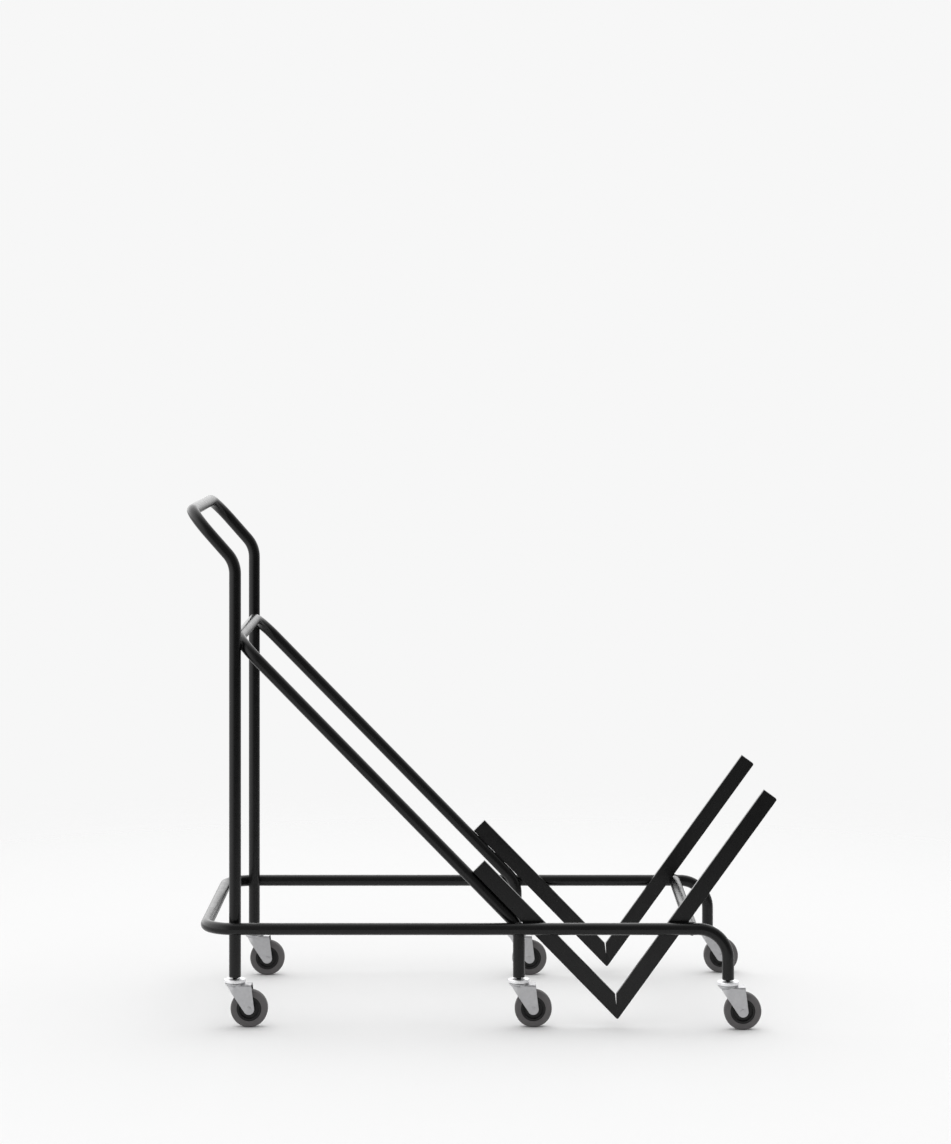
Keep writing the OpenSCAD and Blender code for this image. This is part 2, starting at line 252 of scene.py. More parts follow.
# Handle hoop
# A second bent tube: its two uprights are the rear legs, and above the knees it leans back
# to the grip that is pushed. The uprights are welded to the insides of the side rails.
handle_slope = math.radians(48.7)
stems = {joint["child"].removeprefix("castor_"): Vector(joint["pos_m"])
         for joint in frame["joints"] if joint["name"].startswith("swivel_")}
handle_low, handle_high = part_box("handle_hoop")
upright = stems["rear_near"]
grip_reach = upright.x - (handle_low.x + tube_r)
grip_z = handle_high.z - tube_r
knee_z = grip_z - grip_reach * math.tan(handle_slope)
handle_knee = quarter - handle_slope
handle_hoop = hoop(
    "handle_hoop_tube", Vector((upright.x, upright.y, leg_foot_z)),
    leg_l=knee_z - bend_reach(handle_knee) - leg_foot_z, knee=handle_knee,
    arm_l=grip_reach / math.cos(handle_slope) - bend_reach(handle_knee) - bend_r)
coated(handle_hoop, "handle_hoop")

# Lean hoop
# The third bent tube: two middle legs that turn back at the side rails and slope up to a
# cross bar between the uprights. Its corners are welded to the uprights.
lean_slope = math.radians(45.6)
lean_knee = quarter - lean_slope
middle_leg = stems["mid_near"]
lean_bar_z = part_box("lean_hoop")[1].z - tube_r
lean_arm = (lean_bar_z - rail_z) / math.sin(lean_slope)
lean_hoop = hoop(
    "lean_hoop_tube", Vector((middle_leg.x, middle_leg.y, leg_foot_z)),
    leg_l=rail_z - bend_reach(lean_knee) - leg_foot_z, knee=lean_knee,
    arm_l=lean_arm - bend_reach(lean_knee) - bend_r)
coated(lean_hoop, "lean_hoop")

# Front cross tube
# A straight tube between the side rails, just behind the front bends. Its ends are cut to
# a saddle that sits round the rails, and the cradles' front bars lie on it.
cross_x = (tube_low.x + tube_high.x) / 2
saddle_sides = 2 * tube_sides
saddle_l = 4 * tube_r
too_close = 0.00001


def cleaned(piece):
    """Merges points of a finished mesh that lie too close, and drops faces that have shrunk away."""
    select_only(piece)
    bpy.ops.object.mode_set(mode="EDIT")
    bpy.ops.mesh.select_all(action="SELECT")
    bpy.ops.mesh.remove_doubles(threshold=too_close)
    bpy.ops.mesh.dissolve_degenerate(threshold=too_close)
    bpy.ops.object.mode_set(mode="OBJECT")


def levelled(piece):
    """Shades the flat faces of a piece flat, so that only its rounded edges look round."""
    select_only(piece)
    level = piece.modifiers.new("level", "WEIGHTED_NORMAL")
    level.keep_sharp = True
    bpy.ops.object.modifier_apply(modifier=level.name)


def cut(piece, tool, operation):
    """Joins or cuts a piece by another, which is used up."""
    modifier = piece.modifiers.new("cut", "BOOLEAN")
    modifier.object = tool
    modifier.operation = operation
    modifier.solver = "EXACT"
    apply_modifiers(piece)
    bpy.data.objects.remove(tool)


bpy.ops.object.select_all(action="DESELECT")
bpy.ops.mesh.primitive_circle_add(
    vertices=tube_sides, radius=tube_r, location=(cross_x, -rail_y, rail_z), rotation=(-quarter, 0, 0))
cross_tube = bpy.context.object
cross_tube.name = "front_cross_tube_saddled"
bpy.ops.object.transform_apply(location=True, rotation=True)
bpy.ops.object.mode_set(mode="EDIT")
bpy.ops.mesh.select_all(action="SELECT")
bpy.ops.mesh.extrude_region_move(TRANSFORM_OT_translate={"value": ACROSS * 2 * rail_y})
face_outwards()
bpy.ops.object.mode_set(mode="OBJECT")
add_wall(cross_tube)
for side in (-1, 1):
    bpy.ops.object.select_all(action="DESELECT")
    bpy.ops.mesh.primitive_cylinder_add(
        vertices=saddle_sides, radius=tube_r, depth=saddle_l,
        location=(cross_x, side * rail_y, rail_z), rotation=(0, quarter, 0))
    cut(cross_tube, bpy.context.object, "DIFFERENCE")
cleaned(cross_tube)
coated(cross_tube, "front_cross_tube")

# Cradle bars
# Two V cradles of flat steel bar on edge, one inside each side rail. Each rear bar lies on the
# lean hoop, each front bar on the cross tube, and their mitre is welded at the tip only.
bar_w = 0.034
bar_edge_r = 0.0015
bar_edge_steps = 4
spare_l = 2 * bar_w
long_edge = 2 * bar_w
round_r = 0.004
round_steps = 6
seam_share = 0.5
mitre_gap = 0.0022
hair = 0.0002
mounts = {mount["name"]: mount for mount in frame["record"]["mounts"]}


def pick(kind, test):
    """Selects the edges or faces of the mesh in edit mode that pass a test."""
    mesh = bmesh.from_edit_mesh(bpy.context.object.data)
    bpy.ops.mesh.select_all(action="DESELECT")
    bpy.ops.mesh.select_mode(type=kind)
    for element in mesh.edges if kind == "EDGE" else mesh.faces:
        if test(element):
            element.select_set(True)
    bmesh.update_edit_mesh(bpy.context.object.data)


def planed(point, normal):
    """Cuts the mesh in edit mode along a plane, and drops what lies beyond it."""
    bpy.ops.mesh.select_all(action="SELECT")
    bpy.ops.mesh.bisect(plane_co=point, plane_no=normal, clear_outer=True)


def rounded(centre, first, last):
    """Planes a corner off, step by step, to a round between its edges' outward normals."""
    for step in range(round_steps):
        normal = first.slerp(last, (step + 0.5) / round_steps)
        planed(centre + round_r * normal, normal)


def cradle_line(which):
    """A point on a bar's upper edge, the way up along it, and the way into the V."""
    mount = mounts["cradle_" + which + "_face_near"]
    inward = Vector(mount["axis"])
    up = inward.cross(ACROSS)
    return Vector(mount["pos_m"]), up if up.z > 0 else -up, inward


def crossing(p, u, q, v):
    """Where two lines in the XZ plane meet."""
    gap = q - p
    return p + u * ((gap.x * v.z - gap.z * v.x) / (u.x * v.z - u.z * v.x))


rear_at, rear_up, rear_in = cradle_line("rear")
front_at, front_up, front_in = cradle_line("front")
v_inner = crossing(rear_at, rear_up, front_at, front_up)
v_tip = crossing(rear_at - bar_w * rear_in, rear_up, front_at - bar_w * front_in, front_up)
seam_end = v_tip + seam_share * (v_inner - v_tip)
wedge_l = mitre_gap / (rear_up - front_up).length
tip_at = v_tip + round_r * (rear_in + front_in) / (1 + rear_in.dot(front_in))


def cradle_bar(name, up, inward, length, node, round_end):
    """A bar laid along its edge, cut to the mitre, thickened, and eased along its edges."""
    low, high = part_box(node)
    bpy.ops.object.select_all(action="DESELECT")
    bpy.ops.mesh.primitive_plane_add(size=1)
    bar = bpy.context.object
    bar.name = name
    corners = [v_inner - spare_l * up, v_inner + length * up]
    outline = [corners[0], corners[1], corners[0] - bar_w * inward, corners[1] - bar_w * inward]
    for vertex, corner in zip(bar.data.vertices, outline):
        vertex.co = (corner.x, low.y, corner.z)
    bpy.ops.object.mode_set(mode="EDIT")
    for point, line in ((v_tip, v_inner - v_tip), (seam_end, v_inner + wedge_l * up - seam_end)):
        normal = line.cross(ACROSS).normalized()
        planed(point, normal if normal.dot(up) < 0 else -normal)
    rounded(tip_at, -rear_in, -front_in)
    if round_end:
        rounded(corners[1] - bar_w * inward + round_r * (inward - up), -inward, up)
    bpy.ops.mesh.select_all(action="SELECT")
    bpy.ops.mesh.extrude_region_move(TRANSFORM_OT_translate={"value": ACROSS * (high.y - low.y)})
    face_outwards()
    pick("EDGE", lambda edge: edge.calc_length() > long_edge)
    bpy.ops.mesh.bevel(offset=bar_edge_r, segments=bar_edge_steps, affect="EDGES")
    bpy.ops.object.mode_set(mode="OBJECT")
    cleaned(bar)
    apply_modifiers(bar)
    levelled(bar)
    coated(bar, node)


rear_low, rear_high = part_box("cradle_rear_bar_near")
rear_bar_l = (rear_high.z - v_inner.z) / rear_up.z
front_bar_l = (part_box("cradle_front_bar_near")[1].z - v_inner.z) / front_up.z
for side in ("near", "far"):
    cradle_bar("rear_bar_" + side, rear_up, rear_in, rear_bar_l, "cradle_rear_bar_" + side, False)
    cradle_bar("front_bar_" + side, front_up, front_in, front_bar_l, "cradle_front_bar_" + side, True)

# Welds
# The frame is joined by short fillet welds, laid in ripples and coated over: round the places
# where tubes cross, round the cross tube's saddles, and along the cradle bars.
ripple_r = 0.0017
ripple_sides = 10
ripple_rings = 6
ripple_step = 0.0014
ring_r = 0.0075
fillet = 0.006
stitch_l = 0.028
stitch_shares = (0.80, 0.94)
full_turn = 2 * math.pi


def row(start, end):
    """Places of the ripples along a straight weld."""
    count = round((end - start).length / ripple_step)
    return [start.lerp(end, step / count) for step in range(count + 1)]


def turns(length):
    """Steps of a full turn round a weld of that length."""
    count = round(length / ripple_step)
    return [full_turn * step / count for step in range(count)]


def crossing_weld(x):
    """Round the place where an upright tube touches the near rail, midway between the two."""
    places = []
    for turn in turns(full_turn * ring_r):
        east, rise = ring_r * math.cos(turn), ring_r * math.sin(turn)
        bulge = (rise ** 2 - east ** 2) / (4 * tube_r)
        places.append(Vector((x + east, tube_r - rail_y - bulge, rail_z + rise)))
    return places


def joined(pieces, name):
    """Joins pieces into the first of them."""
    select_only(*pieces)
    bpy.ops.object.join()
    whole = bpy.context.object
    whole.name = name
    return whole


knee_back = bend_r * (1 - math.cos(math.asin(math.tan(lean_knee / 2))))
ripples = crossing_weld(upright.x) + crossing_weld(middle_leg.x - knee_back)

lean_up = Vector((-math.cos(lean_slope), 0, math.sin(lean_slope)))
corner_start = Vector((middle_leg.x, middle_leg.y, rail_z)) + (lean_arm - bend_r) * lean_up
corner_line = [corner_start + bend_r * (math.sin(turn) * lean_up + (1 - math.cos(turn)) * ACROSS)
               for turn in (quarter * step / tube_sides for step in range(tube_sides + 1))]
touch = min(corner_line, key=lambda at: math.hypot(at.x - upright.x, at.y - upright.y))
off = Vector((touch.x - upright.x, touch.y - upright.y, 0))
seat = touch - off / 2
ripples += [seat + ring_r * (math.cos(turn) * UP + math.sin(turn) * off.normalized().cross(UP))
            for turn in turns(full_turn * ring_r)]

ripples += [Vector((cross_x + tube_r * math.cos(turn), tube_r * abs(math.cos(turn)) - rail_y,
                    rail_z + tube_r * math.sin(turn))) for turn in turns(full_turn * tube_r)]

bar_outside, bar_inside = rear_low.y, rear_high.y
beside_rail = (bar_outside - rail_y + math.sqrt(tube_r ** 2 - fillet ** 2)) / 2
for up in (rear_up, front_up):
    for z in (rail_z - fillet, rail_z + fillet):
        ends = [Vector((edge.x + (z - edge.z) * up.x / up.z, beside_rail, z))
                for edge in (v_tip, v_inner)]
        ripples += row(*ends)
for share in stitch_shares:
    middle = v_tip + (share * rear_bar_l + bar_w) * rear_up
    middle.y = bar_inside
    ripples += row(middle - stitch_l / 2 * rear_up, middle + stitch_l / 2 * rear_up)
for side in (-1, 1):
    beside = Vector((cross_x, 0, rail_z)) + tube_r * front_in + side * fillet * front_up
    ripples += row(beside + bar_outside * ACROSS, beside + bar_inside * ACROSS)
seam = [tip_at.copy(), seam_end.copy()]
for end in seam:
    end.y = bar_inside
ripples += row(*seam)

bpy.ops.object.select_all(action="DESELECT")
bpy.ops.mesh.primitive_uv_sphere_add(segments=ripple_sides, ring_count=ripple_rings, radius=ripple_r)
ripple = bpy.context.object
line_mesh = bpy.data.meshes.new("weld_line")
line_mesh.from_pydata([(at.x, side * at.y, at.z) for side in (-1, 1) for at in ripples], [], [])
weld_line = bpy.data.objects.new("weld_line", line_mesh)
bpy.context.scene.collection.objects.link(weld_line)
ripple.parent = weld_line
weld_line.instance_type = "VERTS"
select_only(weld_line)
bpy.ops.object.duplicates_make_real()
beads = [piece for piece in bpy.context.selected_objects if piece != weld_line]
welds = joined(beads, "weld_beads")
bpy.data.objects.remove(ripple)
bpy.data.objects.remove(weld_line)
bpy.ops.object.transform_apply(location=True)
apply_modifiers(welds)
coated(welds)

# Leg inserts
# A black plastic plug is driven into the foot of each leg until its flange meets the tube.
# It holds the thread that the castor's stem is screwed into.
turn_sides = 64
sharp_angle = math.radians(30)


def turned(name, profile, lying=False, closed=False, sides=turn_sides):
    """Turns (radius, height) steps about an axis: a ring is pulled out and scaled, step by step."""
    bpy.ops.object.select_all(action="DESELECT")
    (radius, height), steps = profile[0], profile[1:]
    bpy.ops.mesh.primitive_circle_add(
        vertices=sides, radius=radius, location=(0, 0, height), fill_type="NOTHING" if closed else "NGON")
    piece = bpy.context.object
    piece.name = name
    bpy.ops.object.transform_apply(location=True)
    bpy.ops.object.mode_set(mode="EDIT")
    bpy.ops.mesh.select_all(action="SELECT")
    for next_radius, next_height in steps:
        bpy.ops.mesh.extrude_region_move(
            TRANSFORM_OT_translate={"value": UP * (next_height - height)})
        share = next_radius / radius
        bpy.ops.transform.resize(value=(share, share, 1), center_override=(0, 0, next_height))
        radius, height = next_radius, next_height
    face_outwards()
    bpy.ops.object.mode_set(mode="OBJECT")
    if lying:
        piece.rotation_euler = (quarter, 0, 0)
        bpy.ops.object.transform_apply(rotation=True)
    return piece


def eased(piece, width, segments=3):
    """Rounds a piece's sharp edges off."""
    ease = piece.modifiers.new("eased edges", "BEVEL")
    ease.width = width
    ease.segments = segments
    ease.limit_method = "ANGLE"
    ease.angle_limit = sharp_angle
    apply_modifiers(piece)
    levelled(piece)
    return piece


def copied(piece, name, at):
    """A copy of a piece, with its own mesh, moved there."""
    select_only(piece)
    bpy.ops.object.duplicate()
    copy = bpy.context.object
    copy.name = name
    copy.location = at
    bpy.ops.object.transform_apply(location=True)
    return copy


def set_at_stems(piece, name):
    """One piece made of copies of a piece, one at each castor's stem."""
    copies = [copied(piece, name, (stem.x, stem.y, 0)) for stem in stems.values()]
    bpy.data.objects.remove(piece)
    return joined(copies, name)


insert_low, insert_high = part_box("leg_inserts")
stem_r = 0.005
bore_gap = 0.0004
plug_r = tube_r - tube_wall
flange_inset = 0.0002
flange_r = tube_r - flange_inset
flange_ease = 0.0008
black_plastic = finish(
    "black_plastic", dark=(0.004, 0.004, 0.004), light=(0.006, 0.006, 0.006), patch_scale=40,
    rough=(0.45, 0.55), rough_scale=120, grain_scale=900, grain_depth=0.00003)
insert = eased(turned("insert", [
    (stem_r + bore_gap, insert_low.z), (flange_r, insert_low.z), (flange_r, leg_foot_z),
    (plug_r, leg_foot_z), (plug_r, insert_high.z)]), flange_ease)
inserts = set_at_stems(insert, "leg_plugs")
fitted(inserts, black_plastic, "frame", "black_plastic", "leg_inserts")

# Castor stems
# A zinc-plated steel stem is screwed into each insert, and below the collar it is the
# king pin that the fork turns on, headed over under the crown. The whole stem is painted
# near-black instead of zinc: painted shade and painted reflection of the black leg above it.
# Painted shade and painted reflection: a near-black finish on the zinc-plated stems, for the shaded neck
# under the leg.
black_oxide = finish(
    "black_oxide", dark=(0.006, 0.006, 0.006), light=(0.011, 0.011, 0.011), patch_scale=300,
    rough=(0.50, 0.62), rough_scale=400, grain_scale=1400, grain_depth=0.00001, gloss=0.3)
thread_pitch = 0.0015
thread_depth = 0.0008
thread_sink = 0.0001
thread_flank = 0.00065
thread_steps = 48
stem_low, stem_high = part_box("castor_stems")
collar_low, collar_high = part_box("castor_collars")
pin_r = 0.006
head_r = (stem_high.y - stem_low.y) / 2 - abs(stems["front_near"].y)
head_h = 0.0035
head_top = stem_low.z + head_h
shoulder_sink = 0.001
shoulder_z = collar_high.z - shoulder_sink
root_r = stem_r - thread_depth
pin_ease = 0.0006
pin = eased(turned("pin", [
    (head_r, stem_low.z), (head_r, head_top), (pin_r, head_top), (pin_r, shoulder_z),
    (root_r, shoulder_z), (root_r, leg_foot_z)]), pin_ease)
bpy.ops.object.select_all(action="DESELECT")
bpy.ops.mesh.primitive_plane_add(size=thread_pitch)
thread = bpy.context.object
thread.name = "thread"
bpy.ops.object.mode_set(mode="EDIT")
bpy.ops.mesh.select_mode(type="VERT")
bpy.ops.mesh.select_all(action="SELECT")
bpy.ops.mesh.merge(type="CENTER")
bpy.ops.transform.translate(value=(root_r - thread_sink, 0, shoulder_z - thread_pitch))
for step in (thread_depth + thread_sink, -thread_depth - thread_sink):
    bpy.ops.mesh.extrude_region_move(TRANSFORM_OT_translate={"value": (step, 0, thread_flank)})
bpy.ops.mesh.select_all(action="SELECT")
bpy.ops.mesh.edge_face_add()
bpy.ops.mesh.delete(type="ONLY_FACE")
bpy.ops.object.mode_set(mode="OBJECT")
screw = thread.modifiers.new("thread", "SCREW")
screw.angle = full_turn
screw.screw_offset = thread_pitch
screw.iterations = math.ceil((leg_foot_z - shoulder_z) / thread_pitch) + 1
screw.steps = screw.render_steps = thread_steps
apply_modifiers(thread)
bpy.ops.object.mode_set(mode="EDIT")
bpy.ops.mesh.select_all(action="SELECT")
bpy.ops.mesh.fill_holes()
face_outwards()
bpy.ops.object.mode_set(mode="OBJECT")
stem_set = set_at_stems(joined([pin, thread], "stem"), "threaded_stems")
# The zinc-plated stems take the near-black painted shade and reflection.
fitted(stem_set, black_oxide, "frame", "zinc_plate", "castor_stems")

# Castor collars
# A bright plated ring, pressed from sheet and fixed on each stem, that covers the bearing
# balls and stays still while the fork turns under it.
bright_plate = finish(
    "bright_plate", dark=(0.80, 0.80, 0.81), light=(0.84, 0.84, 0.85), patch_scale=90,
    rough=(0.38, 0.46), rough_scale=180, grain_scale=500, grain_depth=0.000001, metallic=1.0)
collar_r = (collar_high.y - collar_low.y) / 2 - abs(stems["front_near"].y)
collar_lip = 0.003
collar_ease = 0.0014
collar_ease_steps = 5
collar = eased(turned("collar", [
    (collar_r - collar_lip, collar_low.z), (collar_r, collar_low.z), (collar_r, collar_high.z),
    (stem_r, collar_high.z)]), collar_ease, collar_ease_steps)
collars = set_at_stems(collar, "swivel_collars")
fitted(collars, bright_plate, "frame", "chrome_plate", "castor_collars")

# Castor forks
# Each fork is pressed from one sheet of zinc-plated steel: a crown with a round nose, and two
# cheeks that take the axle. A flared cup on the crown is the lower race of the swivel. The
# faces inside the fork, round the wheel, are painted dark: painted shade, where the cheeks and wheel shut
# the light out.
rolls = {joint["child"].removeprefix("wheel_"): Vector(joint["pos_m"])
         for joint in frame["joints"] if joint["name"].startswith("roll_")}
fork_low, fork_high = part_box("fork_rear_near")
tyre_low, tyre_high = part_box("tyre_rear_near")
trail = rolls["rear_near"].x - stems["rear_near"].x
axle_z = rolls["rear_near"].z
fork_sheet = 0.0025
cheek_gap = 0.0035
slot_half = (tyre_high.y - tyre_low.y) / 2 + cheek_gap
fork_half = slot_half + fork_sheet
cup_r = (fork_high.y - fork_low.y) / 2
cup_rise = 0.0022
cup_rim = 0.0017
cup_drop = 0.0048
crown_top = fork_high.z - cup_rise
crown_z = crown_top - fork_sheet
crown_l = 0.035
press_r = 0.0038
press_steps = 8
cheek_end_r = 0.0112
cheek_lead = 0.018
cheek_mid_x = (crown_l - cheek_lead) / 2
overrun = 0.002
blank_foot_z = axle_z - cheek_end_r - overrun
race_r = 0.01
sheet_ease = 0.0005
sheet_ease_steps = 2
facing_share = 0.9
tool_w = 4 * fork_half
slot_l = 4 * fork_half
slot_h = 2 * fork_half
zinc = finish(
    "zinc_plate", dark=(0.46, 0.46, 0.47), light=(0.51, 0.51, 0.52), patch_scale=160,
    rough=(0.32, 0.40), rough_scale=240, grain_scale=1400, grain_depth=0.00001, metallic=1.0)
# Painted shade: a dark, dull finish for the zinc faces inside the fork, where the cheeks and wheel shade
# them.
dull_zinc = finish(
    "dull_zinc", dark=(0.012, 0.012, 0.012), light=(0.030, 0.029, 0.028), patch_scale=120,
    rough=(0.55, 0.70), rough_scale=200, grain_scale=900, grain_depth=0.00002)

bpy.ops.object.select_all(action="DESELECT")
bpy.ops.mesh.primitive_circle_add(
    vertices=turn_sides, radius=fork_half, fill_type="NGON", location=(0, 0, blank_foot_z))
fork = bpy.context.object
fork.name = "fork"
bpy.ops.object.transform_apply(location=True)
bpy.ops.object.mode_set(mode="EDIT")
bpy.ops.mesh.select_all(action="SELECT")
bpy.ops.mesh.bisect(plane_co=(0, 0, 0), plane_no=(1, 0, 0), clear_outer=True)
pick("EDGE", lambda edge: all(abs(vertex.co.x) < hair for vertex in edge.verts))
bpy.ops.mesh.extrude_region_move(
    TRANSFORM_OT_translate={"value": (trail + cheek_end_r + overrun, 0, 0)})
bpy.ops.mesh.select_all(action="SELECT")
bpy.ops.mesh.extrude_region_move(
    TRANSFORM_OT_translate={"value": UP * (crown_top - blank_foot_z)})
face_outwards()
pick("FACE", lambda face: face.normal.z < -facing_share or face.normal.x > facing_share)
bpy.ops.mesh.delete(type="FACE")
pick("EDGE", lambda edge: not edge.is_boundary and edge.calc_face_angle() > sharp_angle
     and all(abs(vertex.co.z - crown_top) < hair for vertex in edge.verts))
bpy.ops.mesh.bevel(offset=press_r, segments=press_steps, affect="EDGES")
bpy.ops.object.mode_set(mode="OBJECT")
sheet = fork.modifiers.new("sheet", "SOLIDIFY")
sheet.thickness = fork_sheet
sheet.offset = -1
sheet.use_even_offset = True
apply_modifiers(fork)

bpy.ops.object.select_all(action="DESELECT")
bpy.ops.mesh.primitive_cylinder_add(
    vertices=turn_sides, radius=cheek_end_r, depth=tool_w, location=(trail, 0, axle_z),
    rotation=(quarter, 0, 0))
cheek = bpy.context.object
bpy.ops.object.transform_apply(location=True, rotation=True)
bpy.ops.object.mode_set(mode="EDIT")
bpy.ops.mesh.primitive_plane_add(size=1, location=(cheek_mid_x, 0, crown_top + hair))
bpy.ops.transform.resize(
    value=(crown_l + cheek_lead, tool_w, 1), center_override=(cheek_mid_x, 0, crown_top + hair))
bpy.ops.mesh.select_all(action="SELECT")
bpy.ops.mesh.convex_hull()
bpy.ops.object.mode_set(mode="OBJECT")
cut(fork, cheek, "INTERSECT")
cleaned(fork)
eased(fork, sheet_ease, sheet_ease_steps)

cup = eased(turned("cup", [
    (race_r, crown_top), (fork_half - hair, crown_z), (fork_half, crown_top - cup_drop),
    (cup_r, crown_top + cup_rise - cup_rim), (cup_r, crown_top + cup_rise),
    (race_r, crown_top + cup_rise)]), sheet_ease, sheet_ease_steps)
bpy.ops.object.select_all(action="DESELECT")
bpy.ops.mesh.primitive_cube_add(size=1, location=(slot_l / 2, 0, crown_z - slot_h / 2))
slot = bpy.context.object
slot.scale = (slot_l, 2 * slot_half, slot_h)
bpy.ops.object.transform_apply(location=True, scale=True)
cut(cup, slot, "DIFFERENCE")
cut(fork, cup, "UNION")
cleaned(fork)
levelled(fork)
dress([fork], zinc)
fork.data.materials.append(dull_zinc)
# The faces inside the fork, round the wheel and below the crown, take the painted shade.
for face in fork.data.polygons:
    off_axis = math.hypot(min(face.center.x, 0), face.center.y)
    if off_axis < slot_half + hair and face.center.z < crown_z + hair:
        face.material_index = 1

for place, stem in stems.items():
    pressing = copied(fork, "pressed_fork_" + place, (stem.x, stem.y, 0))
    dress([frame["nodes"]["fork_" + place]], zinc)
    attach(pressing, "castor_" + place)
    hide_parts("fork_" + place)
bpy.data.objects.remove(fork)

# Swivel balls and axle sleeves
# A ring of ground steel balls runs between each collar and fork, and a steel sleeve round each
# axle keeps the cheeks apart. Both are hidden, so their solids stay as they are.
ground_steel = finish(
    "ground_steel", dark=(0.50, 0.50, 0.51), light=(0.60, 0.60, 0.61), patch_scale=200,
    rough=(0.15, 0.25), rough_scale=300, grain_scale=1500, grain_depth=0.000004, metallic=1.0)
for place in stems:
    dress([frame["nodes"]["swivel_balls_" + place], frame["nodes"]["axle_sleeve_" + place]], ground_steel)

# Axle rivets
# A zinc-plated rivet through both cheeks and the sleeve is each wheel's axle. Its ends are
# set to a flat head with a round button.
rivet_low, rivet_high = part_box("axle_rivet_rear_near")
rivet_l = (rivet_high.y - rivet_low.y) / 2
rivet_r = (rivet_high.z - rivet_low.z) / 2
button_r = 0.00325
button_h = 0.0004
shank_r = 0.004
rivet_ease = 0.00015
rivet_side = [(shank_r, 0), (shank_r, fork_half), (rivet_r, fork_half), (rivet_r, rivet_l - button_h),
              (button_r, rivet_l - button_h), (button_r, rivet_l)]
rivet_profile = [(radius, -height) for radius, height in reversed(rivet_side)] + rivet_side[1:]
rivet = eased(turned("rivet", rivet_profile, lying=True), rivet_ease)


def set_at_axles(piece, name, material, body, slot_name, node):
    """Copies of a piece, one at each axle, each carried by its own place's body."""
    for place, axle in rolls.items():
        fitted(copied(piece, name + place, axle), material, body + place, slot_name, node + place)
    bpy.data.objects.remove(piece)


set_at_axles(rivet, "set_rivet_", zinc, "castor_", "zinc_plate", "axle_rivet_")

# Wheel hubs
# A black hub, moulded in one piece, runs on each sleeve: a boss, a thin web, and a rim that the
# tyre grips.
hub_low, hub_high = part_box("hub_rear_near")
hub_r = (hub_high.z - hub_low.z) / 2
boss_half = (hub_high.y - hub_low.y) / 2
wheel_half = (tyre_high.y - tyre_low.y) / 2
rim_inset = 0.001
rim_half = wheel_half - rim_inset
rim_w = 0.005
rim_inner_r = hub_r - rim_w
web_inset = 0.005
web_half = rim_half - web_inset
hole_r = 0.00605
boss_wall = 0.005
boss_r = hole_r + boss_wall
hub_ease = 0.0006
hub_side = [(hole_r, boss_half), (boss_r, boss_half), (boss_r, web_half), (rim_inner_r, web_half),
            (rim_inner_r, rim_half), (hub_r, rim_half)]
hub_profile = hub_side + [(radius, -height) for radius, height in reversed(hub_side)] + hub_side[:1]
hub = eased(turned("hub", hub_profile, lying=True, closed=True), hub_ease)
hub_plastic = finish(
    "hub_plastic", dark=(0.005, 0.005, 0.005), light=(0.007, 0.007, 0.007), patch_scale=45,
    rough=(0.42, 0.55), rough_scale=150, grain_scale=1100, grain_depth=0.00002, gloss=0.35)
set_at_axles(hub, "moulded_hub_", hub_plastic, "wheel_", "black_hub", "hub_")

# Tyres
# A grey rubber tyre is moulded round each hub, with round shoulders and a thin parting line
# left by the mould round the middle of the tread.
wheel_r = (tyre_high.z - tyre_low.z) / 2
shoulder_r = 0.004
shoulder_steps = 8
flash_w = 0.0004
flash_foot_w = 3 * flash_w
flash_h = 0.00012
tread_r = wheel_r - flash_h
tyre_sides = 96
tyre_side = [(hub_r, wheel_half)]
for step in range(shoulder_steps + 1):
    angle = quarter * step / shoulder_steps
    tyre_side.append((tread_r - shoulder_r + shoulder_r * math.sin(angle),
                      wheel_half - shoulder_r + shoulder_r * math.cos(angle)))
tyre_side += [(tread_r, flash_foot_w), (wheel_r, flash_w)]
tyre_profile = tyre_side + [(radius, -height) for radius, height in reversed(tyre_side)] + tyre_side[:1]
tyre = turned("tyre", tyre_profile, lying=True, closed=True, sides=tyre_sides)
apply_modifiers(tyre)
grey_rubber = finish(
    "grey_rubber", dark=(0.106, 0.102, 0.103), light=(0.121, 0.115, 0.116), patch_scale=60,
    rough=(0.70, 0.82), rough_scale=200, grain_scale=1300, grain_depth=0.00003)
set_at_axles(tyre, "rubber_tyre_", grey_rubber, "wheel_", "grey_rubber", "tyre_")

# Floor and light
# A pale studio floor that fades into a white surround, one broad soft lamp overhead, and a
# surround that is darker in front of the trolley. Smooth pieces also mirror a light wall on the left.
white = 0.93
paper_tone = 0.86
floor_r = 5.0
floor_sides = 96
fade_start, fade_end = 1.2, 3.2
key_level = 0.7
key_width = math.radians(70)
key_heading = Vector((0, 0.2, -1))
bpy.ops.object.select_all(action="DESELECT")
bpy.ops.mesh.primitive_circle_add(vertices=floor_sides, radius=floor_r, fill_type="NGON")
floor = bpy.context.object
floor.name = "studio_floor"
paper = bpy.data.materials.new("studio_paper")
paper.use_nodes = True
paper_nodes, paper_links = paper.node_tree.nodes, paper.node_tree.links
paper_nodes.remove(paper_nodes["Principled BSDF"])
matt = paper_nodes.new("ShaderNodeBsdfDiffuse")
matt.inputs["Color"].default_value = (paper_tone, paper_tone, paper_tone, 1)
clear = paper_nodes.new("ShaderNodeBsdfTransparent")
blend = paper_nodes.new("ShaderNodeMixShader")
place_node = paper_nodes.new("ShaderNodeTexCoord")
distance = paper_nodes.new("ShaderNodeVectorMath")
distance.operation = "LENGTH"
fade = paper_nodes.new("ShaderNodeMapRange")
fade.interpolation_type = "SMOOTHSTEP"
fade.inputs["From Min"].default_value = fade_start
fade.inputs["From Max"].default_value = fade_end
paper_links.new(place_node.outputs["Object"], distance.inputs[0])
paper_links.new(distance.outputs["Value"], fade.inputs["Value"])
paper_links.new(fade.outputs["Result"], blend.inputs["Fac"])
